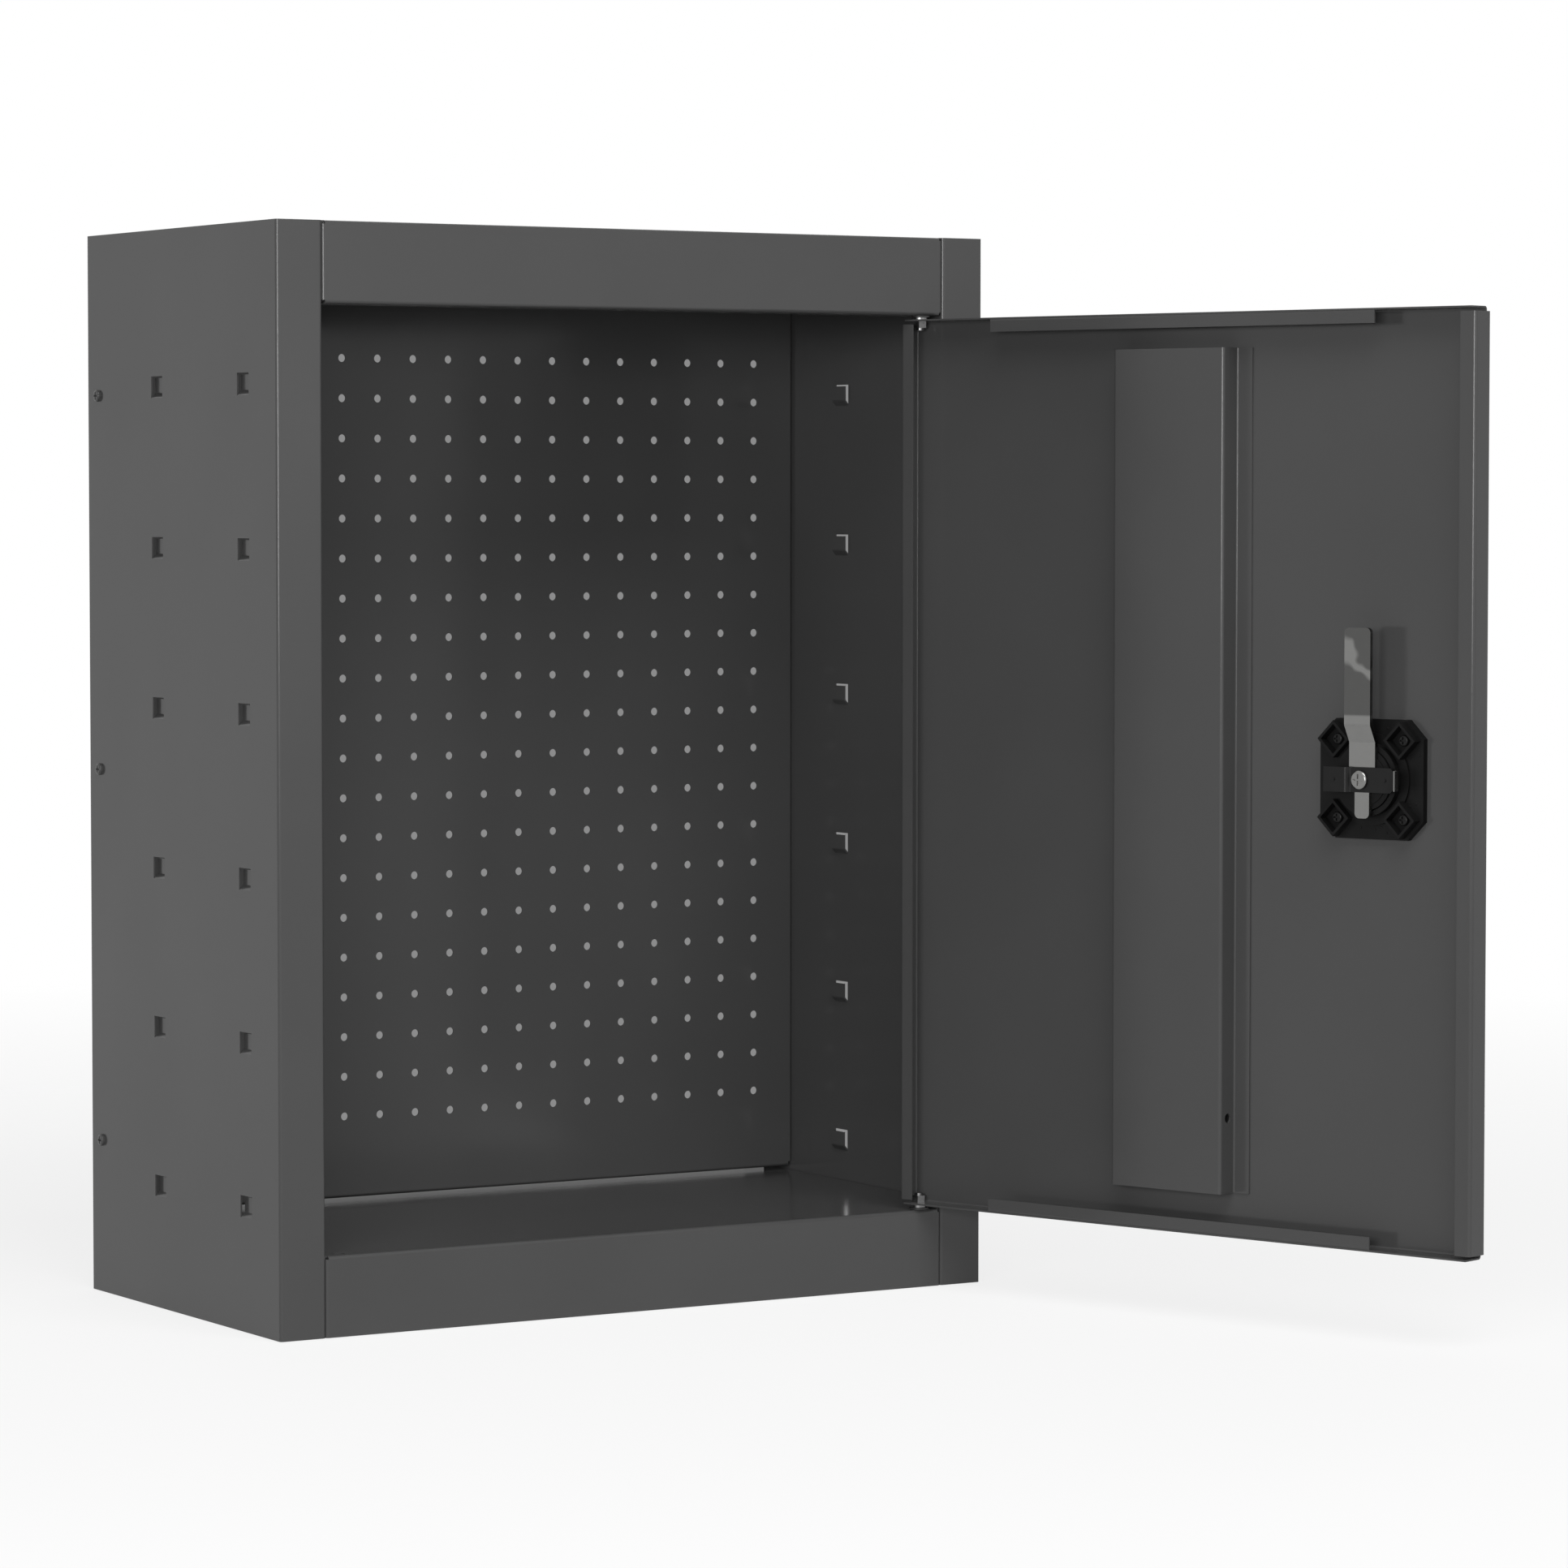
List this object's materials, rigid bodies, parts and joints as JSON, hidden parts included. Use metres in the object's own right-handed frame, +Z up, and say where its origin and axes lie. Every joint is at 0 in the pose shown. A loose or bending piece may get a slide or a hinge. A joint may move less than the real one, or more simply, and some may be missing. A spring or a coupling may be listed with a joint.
{
  "type": "tool cabinet",
  "caption": "Upright folded sheet-steel tool cabinet with a perforated back panel, lanced shelf tabs in its sides and an inset pivot-hinged door with a keyed cam lock.",
  "frame": {"origin": "on the floor under the middle of the cabinet's footprint, the open door left out of the footprint", "axes": "+X to the right seen from the front, +Y to the rear, +Z up; the door is open at rest"},
  "size_m": [0.5837, 0.6488, 0.65],
  "materials": {
    "cabinet_paint": "semi-gloss dark grey powder coat",
    "door_paint": "semi-gloss dark grey powder coat",
    "zinc": "bright zinc plate",
    "steel_fasteners": "zinc-plated steel",
    "black_plastic": "moulded black plastic",
    "bush_plastic": "moulded bearing plastic",
    "die_cast": "plain die-cast metal",
    "black_steel": "black-coated steel",
    "key_brass": "turned brass"
  },
  "bodies": {
    "cabinet": {"left_side_panel": "cabinet_paint", "right_side_panel": "cabinet_paint", "top_panel": "cabinet_paint", "bottom_panel": "cabinet_paint", "back_panel": "cabinet_paint", "back_panel_screws": "cabinet_paint", "top_hinge_bush": "bush_plastic", "bottom_hinge_bush": "bush_plastic"},
    "door": {"door_panel": "door_paint", "door_stiffener": "door_paint", "top_hinge_pin": "steel_fasteners", "bottom_hinge_pin": "steel_fasteners", "hinge_nuts": "steel_fasteners", "lock_escutcheon": "black_plastic", "lock_backplate": "black_plastic", "lock_plate_screws": "black_steel"},
    "lock_rotor": {"lock_handle": "black_plastic", "lock_hub": "black_plastic", "lock_cylinder": "die_cast", "lock_cam": "zinc", "cam_stop_plate": "zinc", "cam_crossbar": "black_steel", "cam_screw": "zinc"},
    "key": {"key_plug": "key_brass"},
    "bolt": {"lock_bolt": "bush_plastic"}
  },
  "joints": [
    {"name": "door_hinge", "type": "hinge", "parent": "cabinet", "child": "door", "pos_m": [0.2021, -0.124, 0.3265], "axis": [0, 0, 1], "range_deg": [-108.5, 11.5]},
    {"name": "handle_turn", "type": "hinge", "parent": "door", "child": "lock_rotor", "pos_m": [0.31475, -0.44019, 0.3265], "axis": [0.9483, 0.3173, 0], "range_deg": [0, 90]},
    {"name": "key_turn", "type": "hinge", "parent": "lock_rotor", "child": "key", "pos_m": [0.31475, -0.44019, 0.3265], "axis": [-0.9483, -0.3173, 0], "range_deg": [0, 90]},
    {"name": "bolt_slide", "type": "slide", "parent": "lock_rotor", "child": "bolt", "axis": [-0.3173, 0.9483, 0], "range_m": [0, 0.003]}
  ],
  "couplings": [
    {"joint": "bolt_slide", "follows": "key_turn", "m_per_rad": 0.0018006}
  ]
}
